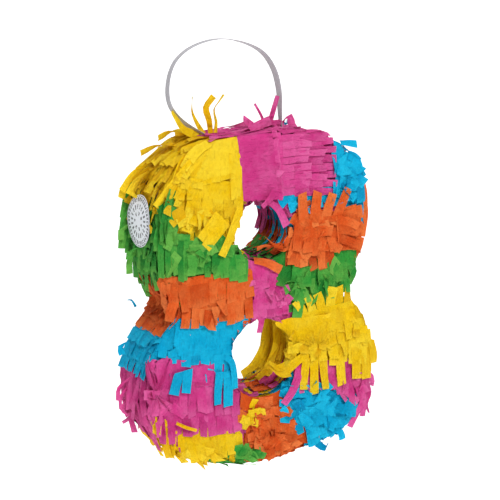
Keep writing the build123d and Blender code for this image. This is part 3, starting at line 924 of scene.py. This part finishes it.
def press_under_seal(paper):
    """Keep the tissue under the round seal flat, so that the seal lies on top of it."""
    for i, p in enumerate(paper.points):
        if p.x > LEFT_WALL_X or math.hypot(p.y, p.z - SEAL_Z) > SEAL_R + SEAL_MARGIN:
            continue
        gap, out = away_from_card(p)
        if gap > SEAL_HEIGHT:
            paper.points[i] = p - out * (gap - SEAL_HEIGHT)


def clear_the_flap(paper):
    """Keep the loose tissue next to the flap beside it, where the opening flap passes it."""
    side, strip, reach, loose = FLAP_HIGH.y + 2, 11, 12, 2
    for p in paper.points:
        beside = p.x < FLAP_WALL_X and side - strip < abs(p.y) < side
        if beside and FLAP_LOW.z < p.z < CREASE_Z + reach and away_from_card(p)[0] > loose:
            p.y = math.copysign(side, p.y)


# ---- glued base layer ----
BASE_VOXEL = 0.0035      # metres
BASE_HEIGHT = 0.4
BASE_OUTSIDE = 3.2       # faces of the sleeves nearer to the card than this are their inner side
BASE_TONE = (0.42, 0.5, 0, 1)


def base_faces(nodes):
    """The surface of some fringe nodes, remeshed evenly: points in drawing millimetres, and faces."""
    joined = bmesh.new()
    for name in nodes:
        joined.from_mesh(frame["nodes"][name].data)
    mesh = bpy.data.meshes.new("base_work")
    joined.to_mesh(mesh)
    joined.free()
    work = add_object("base_work", mesh)
    remesh = work.modifiers.new("remesh", "REMESH")
    remesh.mode = "VOXEL"
    remesh.voxel_size = BASE_VOXEL
    evaluated = work.evaluated_get(bpy.context.evaluated_depsgraph_get())
    fine = bpy.data.meshes.new_from_object(evaluated)
    points = [drawing(v.co) for v in fine.vertices]
    faces = [tuple(f.vertices) for f in fine.polygons]
    bpy.data.objects.remove(work)
    bpy.data.meshes.remove(mesh)
    bpy.data.meshes.remove(fine)
    return points, faces


def lay_base(nodes, paper_of):
    """Wrinkled tissue glued flat on the card, under all the strips."""
    points, faces = base_faces(nodes)
    reading = [away_from_card(p) for p in points]
    settled = [p + out * (BASE_HEIGHT + relief(p) - gap) for p, (gap, out) in zip(points, reading)]
    used = {}
    for face in faces:
        if min(reading[i][0] for i in face) < BASE_OUTSIDE:
            continue
        middle = sum((points[i] for i in face), Vector()) / len(face)
        paper = paper_of(middle)
        index = used.setdefault(paper.name, {})
        corners = []
        for i in face:
            if i not in index:
                index[i] = len(paper.points)
                paper.points.append(settled[i])
            corners.append(index[i])
        paper.faces.append(tuple(corners))
        for i in face:
            paper.uvs += [settled[i].x + settled[i].y, settled[i].z]
            paper.tones += BASE_TONE


# ---- materials ----
def srgb(code):
    """A linear colour with alpha from a six-digit hex code."""
    channels = [int(code[i:i + 2], 16) / 255 for i in (0, 2, 4)]
    linear = [c / 12.92 if c <= 0.04045 else ((c + 0.055) / 1.055) ** 2.4 for c in channels]
    return (*linear, 1)


class Recipe:
    """A material being put together from nodes. Each input gets a value or another node's output."""

    def __init__(self, name):
        self.material = bpy.data.materials.new(name)
        self.material.use_nodes = True
        self.tree = self.material.node_tree
        self.tree.nodes.clear()

    def add(self, kind, output, inputs, **settings):
        """A new node; the result is the named or numbered output."""
        node = self.tree.nodes.new("ShaderNode" + kind)
        for key, value in settings.items():
            setattr(node, key, value)
        for key, value in inputs.items():
            if isinstance(value, bpy.types.NodeSocket):
                self.tree.links.new(value, node.inputs[key])
            else:
                node.inputs[key].default_value = value
        return node.outputs[output]

    def coordinates(self, kind):
        return self.add("TexCoord", kind, {})

    def maths(self, operation, *values):
        return self.add("Math", 0, dict(enumerate(values)), operation=operation)

    def mix(self, factor, a, b):
        """A colour between a, at factor 0, and b, at factor 1."""
        return self.add("Mix", 2, {"Factor": factor, 6: a, 7: b}, data_type="RGBA")

    def ranged(self, value, low, high, to_low, to_high):
        return self.add("MapRange", "Result", {
            "Value": value, "From Min": low, "From Max": high, "To Min": to_low, "To Max": to_high,
        })

    def noise(self, vector, scale, detail, roughness=0.55):
        return self.add("TexNoise", "Fac", {
            "Vector": vector, "Scale": scale, "Detail": detail, "Roughness": roughness,
        })

    def stretched(self, vector, scale):
        return self.add("Mapping", "Vector", {"Vector": vector, "Scale": scale})

    def bump(self, height, strength, distance):
        return self.add("Bump", "Normal", {"Height": height, "Strength": strength, "Distance": distance})

    def finish(self, inputs, light_through=0.0):
        """The finished material: a principled surface that may let a share of the light through."""
        shader = self.add("BsdfPrincipled", "BSDF", inputs)
        if light_through:
            through = self.add("BsdfTranslucent", "BSDF", {"Color": inputs["Base Color"]})
            shader = self.add("MixShader", "Shader", {"Fac": light_through, 1: shader, 2: through})
        end = self.tree.nodes.new("ShaderNodeOutputMaterial")
        self.tree.links.new(shader, end.inputs["Surface"])
        return self.material


# each tissue's body, light and deep colour; the deep colour is the tissue as it looks in shade,
# painted into the creases, the crumpled facets, the left outer wall and the holes as painted shade,
# and it also gives the deeper strips their tone; the light colour gives the blotches and the lighter
# strips, and paints the strips' tips lighter as painted light
TISSUE = {
    "yellow": ("F6C905", "FFE23A", "D99A00"),
    "pink": ("DC3F8E", "EE74B2", "A0125C"),
    "cyan": ("00AEDC", "20C8EE", "007CB0"),
    "green": ("36A03C", "7EC254", "10702A"),
    "orange": ("E65A1E", "F78A48", "AC3308"),
}


def crumpled(recipe, place):
    """Facets of crumpled paper: warped cells of two sizes, their heights added."""
    warp = recipe.add("TexNoise", "Color", {"Vector": place, "Scale": 70, "Detail": 2})
    shrunk = recipe.add("VectorMath", "Vector", {0: warp, "Scale": 0.012}, operation="SCALE")
    shifted = recipe.add("VectorMath", "Vector", {0: place, 1: shrunk}, operation="ADD")
    large, small = (
        recipe.add("TexVoronoi", "Distance", {"Vector": shifted, "Scale": scale}) for scale in (75, 170)
    )
    return recipe.maths("MULTIPLY_ADD", small, 0.45, large)


def tissue_material(colour):
    """Matt crepe tissue: creases and crumpled facets darkened as painted shade, blotches, each strip its own
    shade, tips painted lighter as painted light, and some light through it.
    """
    body, light, deep = (srgb(code) for code in TISSUE[colour])
    recipe = Recipe("tissue_" + colour)
    uv, place = recipe.coordinates("UV"), recipe.coordinates("Object")
    tone = recipe.add("VertexColor", "Color", {}, layer_name="tone")
    shade = recipe.add("SeparateColor", "Red", {"Color": tone})
    # how far along its strip a point lies, for the tips painted lighter as painted light
    along = shade.node.outputs["Blue"]
    blotch = recipe.noise(place, 60, 3)
    crumple = crumpled(recipe, place)
    crinkle = recipe.noise(recipe.stretched(uv, (22, 5, 1)), 1.6, 4, 0.62)
    fibre = recipe.noise(recipe.stretched(uv, (120, 18, 1)), 2, 2)
    surface = body
    for value, start, full, most, tint in (
        (blotch, 0.4, 0.68, 0.45, light),
        # painted shade: the tissue darkens towards its deep colour along the crinkles
        (crinkle, 0.44, 0.3, 0.55, deep),
        # painted shade: darker patches on the crumpled facets
        (crumple, 0.35, 0.1, 0.3, deep),
        # each strip's own tone, made deeper on the left outer wall and in the holes as painted shade
        (shade, 0.5, 0.0, 0.65, deep),
        (shade, 0.5, 1.0, 0.7, light),
        # painted light: each strip lighter towards its tip
        (along, 0.6, 1.0, 0.4, light),
    ):
        surface = recipe.mix(recipe.ranged(value, start, full, 0, most), surface, tint)
    height = recipe.maths("ADD", crinkle, recipe.ranged(fibre, 0, 1, 0, 0.3))
    height = recipe.maths("ADD", height, crumple)
    return recipe.finish({
        "Base Color": surface, "Roughness": 0.8, "Specular IOR Level": 0.12,
        "Normal": recipe.bump(height, 0.9, 0.004),
    }, light_through=0.15)


def card_material(name, light, dark, flute):
    """Kraft card: flecks, soft mottling and faint lines, finer with a larger flute."""
    recipe = Recipe(name)
    place = recipe.coordinates("Object")
    mottle = recipe.noise(place, 60, 5)
    fleck = recipe.noise(recipe.stretched(place, (400, 400, 160)), 4, 2)
    colour = recipe.mix(recipe.ranged(mottle, 0.3, 0.7, 0, 1), srgb(dark), srgb(light))
    colour = recipe.mix(recipe.ranged(fleck, 0.62, 0.7, 0, 0.4), colour, srgb("6B4A2A"))
    wave = recipe.add("TexWave", "Fac", {"Vector": place, "Scale": flute, "Distortion": 0.3})
    return recipe.finish({
        "Base Color": colour, "Roughness": 0.9, "Normal": recipe.bump(wave, 0.25, 0.0006),
    })


def strap_material():
    """Milky plastic strapping with fine lines along it."""
    recipe = Recipe("strap_plastic")
    lines = recipe.noise(recipe.stretched(recipe.coordinates("UV"), (90, 2, 1)), 3, 2)
    colour = recipe.mix(recipe.ranged(lines, 0.35, 0.65, 0, 1), srgb("A3A1A6"), srgb("CFCED3"))
    return recipe.finish({
        "Base Color": colour, "Roughness": 0.38, "Normal": recipe.bump(lines, 0.2, 0.0003),
    }, light_through=0.25)


# rings of bars on the label: middle and half width as shares of the radius, bars round the ring,
# the sine above which a bar is printed, and the turn of the first bar in radians
SEAL_RINGS = ((0.83, 0.075, 38.0, -0.35, 0.0), (0.56, 0.09, 19.0, 0.2, 1.0), (0.3, 0.07, 7.0, 0.35, 2.0))
SEAL_RIM = (0.955, 0.018)


def seal_material():
    """White label with a plain printed border: a rim line and three rings of worn bars."""
    low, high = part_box("seal_sticker")
    centre, radius = (low + high) / 2, (high.z - low.z) / 2
    recipe = Recipe("seal_label")
    maths = recipe.maths
    place = recipe.coordinates("Object")
    split_y = recipe.add("SeparateXYZ", "Y", {"Vector": place})
    across = maths("SUBTRACT", split_y, centre.y)
    up = maths("SUBTRACT", split_y.node.outputs["Z"], centre.z)
    squares = maths("ADD", maths("MULTIPLY", across, across), maths("MULTIPLY", up, up))
    reach = maths("DIVIDE", maths("SQRT", squares), radius)
    angle = maths("ARCTAN2", up, across)

    def ring(middle, half):
        offset = maths("ABSOLUTE", maths("SUBTRACT", reach, middle))
        return maths("LESS_THAN", offset, half)

    ink = ring(*SEAL_RIM)
    for middle, half, bars, threshold, turn in SEAL_RINGS:
        swirl = maths("ADD", maths("MULTIPLY", angle, bars), turn)
        printed = maths("GREATER_THAN", maths("SINE", swirl), threshold)
        ink = maths("MAXIMUM", ink, maths("MULTIPLY", ring(middle, half), printed))
    worn = maths("GREATER_THAN", recipe.noise(place, 420, 2), 0.42)
    ink = maths("MULTIPLY", maths("MULTIPLY", ink, worn), 0.92)
    white = recipe.mix(recipe.noise(place, 300, 3), srgb("CDD2DA"), srgb("E9ECF0"))
    return recipe.finish({"Base Color": recipe.mix(ink, white, srgb("26272C")), "Roughness": 0.5})


def staple_material():
    recipe = Recipe("staple_wire")
    grain = recipe.noise(recipe.coordinates("Object"), 900, 3)
    colour = recipe.mix(grain, srgb("9C9CA0"), srgb("D0D0D4"))
    return recipe.finish({"Base Color": colour, "Metallic": 1.0, "Roughness": 0.35})


def stage_material():
    """A white floor that glows a little, so that it reads as a bare white background."""
    return Recipe("stage").finish({
        "Base Color": (0.92, 0.92, 0.92, 1), "Roughness": 1.0,
        "Emission Color": (1, 1, 1, 1), "Emission Strength": 0.72,
    })


# ---- strap ----
STRAP_ROUTE = [
    (-9, 388.8), (-40, 387.3), (-62, 397.5), (-92, 418), (-105, 441), (-99, 477), (-79, 495.5), (-50, 505),
    (-22, 505), (17, 492), (36, 468), (43, 440), (43.5, 415), (44.7, 400), (45, 387.1), (12, 388.7),
]
STRAP_HALF_THICKNESS = 0.0004        # metres
STRAP_SECTION = [
    (-1, 0), (-0.93, 0.8), (-0.5, 1), (0, 1), (0.5, 1), (0.93, 0.8),
    (1, 0), (0.93, -0.8), (0.5, -1), (0, -1), (-0.5, -1), (-0.93, -0.8),
]


def strap_line():
    """The strap's centreline, read from a NURBS curve through its route, in metres."""
    curve = bpy.data.curves.new("strap_line", "CURVE")
    curve.dimensions = "3D"
    curve.resolution_u = 10
    spline = curve.splines.new("NURBS")
    spline.points.add(len(STRAP_ROUTE) - 1)
    for point, (x, z) in zip(spline.points, STRAP_ROUTE):
        point.co = (*row((x, 0, z)), 1)
    spline.order_u = 3
    spline.use_endpoint_u = True
    holder = add_object("strap_line", curve)
    line = bpy.data.meshes.new_from_object(holder.evaluated_get(bpy.context.evaluated_depsgraph_get()))
    points = [v.co.copy() for v in line.vertices]
    bpy.data.objects.remove(holder)
    bpy.data.meshes.remove(line)
    return points


def strap_twist(share):
    """How far the band is turned about its own line, in radians."""
    return math.radians(16 * math.sin(math.pi * 2 * share + 0.6) + 8 * math.sin(math.pi * 5 * share))


def make_strap(material):
    """The flat band as one closed strip with a thickness and softly rounded edges."""
    line = strap_line()
    low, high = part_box("strap_loop")
    half_width = (high.y - low.y) / 2
    mesh = bpy.data.meshes.new("hanging_strap")
    bm = bmesh.new()
    uv = bm.loops.layers.uv.new("strap")
    rings = []
    for k, p in enumerate(line):
        ahead = line[min(k + 1, len(line) - 1)] - line[max(k - 1, 0)]
        tangent = ahead.normalized()
        across = Matrix.Rotation(strap_twist(k / len(line)), 3, tangent) @ Vector((0, 1, 0))
        out = tangent.cross(across).normalized()
        rings.append([
            bm.verts.new(p + across * (a * half_width) + out * (b * STRAP_HALF_THICKNESS))
            for a, b in STRAP_SECTION
        ])
    count = len(STRAP_SECTION)
    for k in range(len(rings) - 1):
        for i in range(count):
            j = (i + 1) % count
            face = bm.faces.new((rings[k][i], rings[k][j], rings[k + 1][j], rings[k + 1][i]))
            for loop, (u, v) in zip(face.loops, ((i, k), (i + 1, k), (i + 1, k + 1), (i, k + 1))):
                loop[uv].uv = (u / count, v / 10)
    bm.faces.new(rings[0][::-1])
    bm.faces.new(rings[-1])
    bmesh.ops.recalc_face_normals(bm, faces=bm.faces)
    bm.to_mesh(mesh)
    bm.free()
    mesh.materials.append(material)
    mesh.shade_smooth()
    piece = add_object("hanging_strap", mesh)
    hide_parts("strap_loop", "left_strap_tail", "right_strap_tail")
    hinge_z = joint_place("strap_swing").z
    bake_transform(piece)


# ---- camera, light and floor ----
CAMERA_AZIMUTH = -28.5
CAMERA_ELEVATION = 12.3
CAMERA_DISTANCE = 2.0
CAMERA_TARGET = (3.6, 0, 253.7)
CAMERA_LENS = 121.4
# name, place from the middle of the 8 in metres, size in metres, power in watts
LIGHTS = (
    ("key", (-0.3, -2.1, 1.8), 0.8, 56),
    ("fill", (-1.9, -1.5, 0.2), 1.8, 3),
    ("top", (0, 0.3, 2.0), 1.0, 12),
)
WORLD_LIGHT = 0.34
FLOOR_Z = -700.0
FLOOR_HALF, COVE_R, WALL_TOP, COVE_STEPS = 7.0, 2.5, 6.0, 12     # metres


def make_camera():
    data = bpy.data.cameras.new("camera")
    data.lens = CAMERA_LENS
    data.sensor_width = 36
    data.clip_end = 50
    camera = add_object("camera", data)
    azimuth, elevation = math.radians(CAMERA_AZIMUTH), math.radians(CAMERA_ELEVATION)
    back = Vector((
        math.sin(azimuth) * math.cos(elevation), -math.cos(azimuth) * math.cos(elevation), math.sin(elevation)
    ))
    camera.location = row(CAMERA_TARGET) + back * CAMERA_DISTANCE
    camera.rotation_euler = (-back).to_track_quat("-Z", "Y").to_euler()
    bpy.context.scene.camera = camera


def make_light(name, place, aim, size, power):
    data = bpy.data.lights.new(name, "AREA")
    data.size = size
    data.energy = power
    lamp = add_object(name, data)
    lamp.location = place
    lamp.rotation_euler = (aim - place).to_track_quat("-Z", "Y").to_euler()


def make_studio():
    middle = row((0, 0, MIDDLE_Z))
    for name, offset, size, power in LIGHTS:
        make_light(name, middle + Vector(offset), middle, size, power)
    world = bpy.data.worlds.new("studio")
    world.use_nodes = True
    background = world.node_tree.nodes["Background"]
    background.inputs["Color"].default_value = (1, 1, 1, 1)
    background.inputs["Strength"].default_value = WORLD_LIGHT
    bpy.context.scene.world = world
    bpy.context.scene.view_settings.view_transform = "Standard"
    make_floor()


def make_floor():
    """A pale floor that curves up into a wall behind the piece."""
    floor_z = row((0, 0, FLOOR_Z)).z
    turn_y = FLOOR_HALF - COVE_R
    profile = [(-FLOOR_HALF, 0.0), (turn_y, 0.0)]
    for k in range(1, COVE_STEPS + 1):
        angle = math.radians(90 * k / COVE_STEPS)
        profile.append((turn_y + COVE_R * math.sin(angle), COVE_R - COVE_R * math.cos(angle)))
    profile.append((FLOOR_HALF, WALL_TOP))
    points = [(x, y, floor_z + z) for y, z in profile for x in (-FLOOR_HALF, FLOOR_HALF)]
    faces = [(2 * k, 2 * k + 1, 2 * k + 3, 2 * k + 2) for k in range(len(profile) - 1)]
    mesh = bpy.data.meshes.new("studio_floor")
    mesh.from_pydata(points, [], faces)
    mesh.shade_smooth()
    mesh.materials.append(stage_material())
    add_object("studio_floor", mesh)


# ---- assembly ----
def finish_paper(paper):
    piece = paper.build(TISSUE_MATERIALS[paper.colour])
    return piece


CARDS = {
    "corrugated_card": ("C29A6B", "A67C4E", 22),
    "solid_card": ("B88F60", "9C7447", 60),
    "paper_tape": ("D2B284", "BD9A69", 90),
}


def dress_cad_nodes():
    """Card, tape, staple and label materials on the CAD nodes that stay."""
    by_slot = {name: card_material(name, *look) for name, look in CARDS.items()}
    by_slot["staple_wire"] = staple_material()
    by_slot["seal_label"] = seal_material()
    for part in frame["record"]["subparts"]:
        material = by_slot.get(part["material_slot"])
        if not material:
            continue
        node = frame["nodes"][part["node"]]
        if not node.material_slots:
            node.data.materials.append(material)
        for slot in node.material_slots:
            slot.material = material


make_camera()
make_studio()
dress_cad_nodes()
make_strap(strap_material())

lay_base(FRINGE_NODES, lambda p: PAPERS[patch_at(p)])
lay_base(["flap_fringe"], lambda p: FLAP)
lay_automatic_rows()
lay_front_work()
lay_hole_work()
lay_free_strips()
for paper in PAPERS.values():
    clear_the_flap(paper)
for paper in (*PAPERS.values(), FLAP, CREASE):
    hold_in(paper)
    press_under_seal(paper)

TISSUE_MATERIALS = {colour: tissue_material(colour) for colour in TISSUE}
for patch_name, paper in PAPERS.items():
    patch_piece = finish_paper(paper)
    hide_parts("fringe_" + patch_name)
    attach(patch_piece, "shell")
flap_piece = finish_paper(FLAP)
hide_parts("flap_fringe")
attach(flap_piece, "flap")
crease_piece = finish_paper(CREASE)
crease = joint_place("flap_crease")
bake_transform(crease_piece)
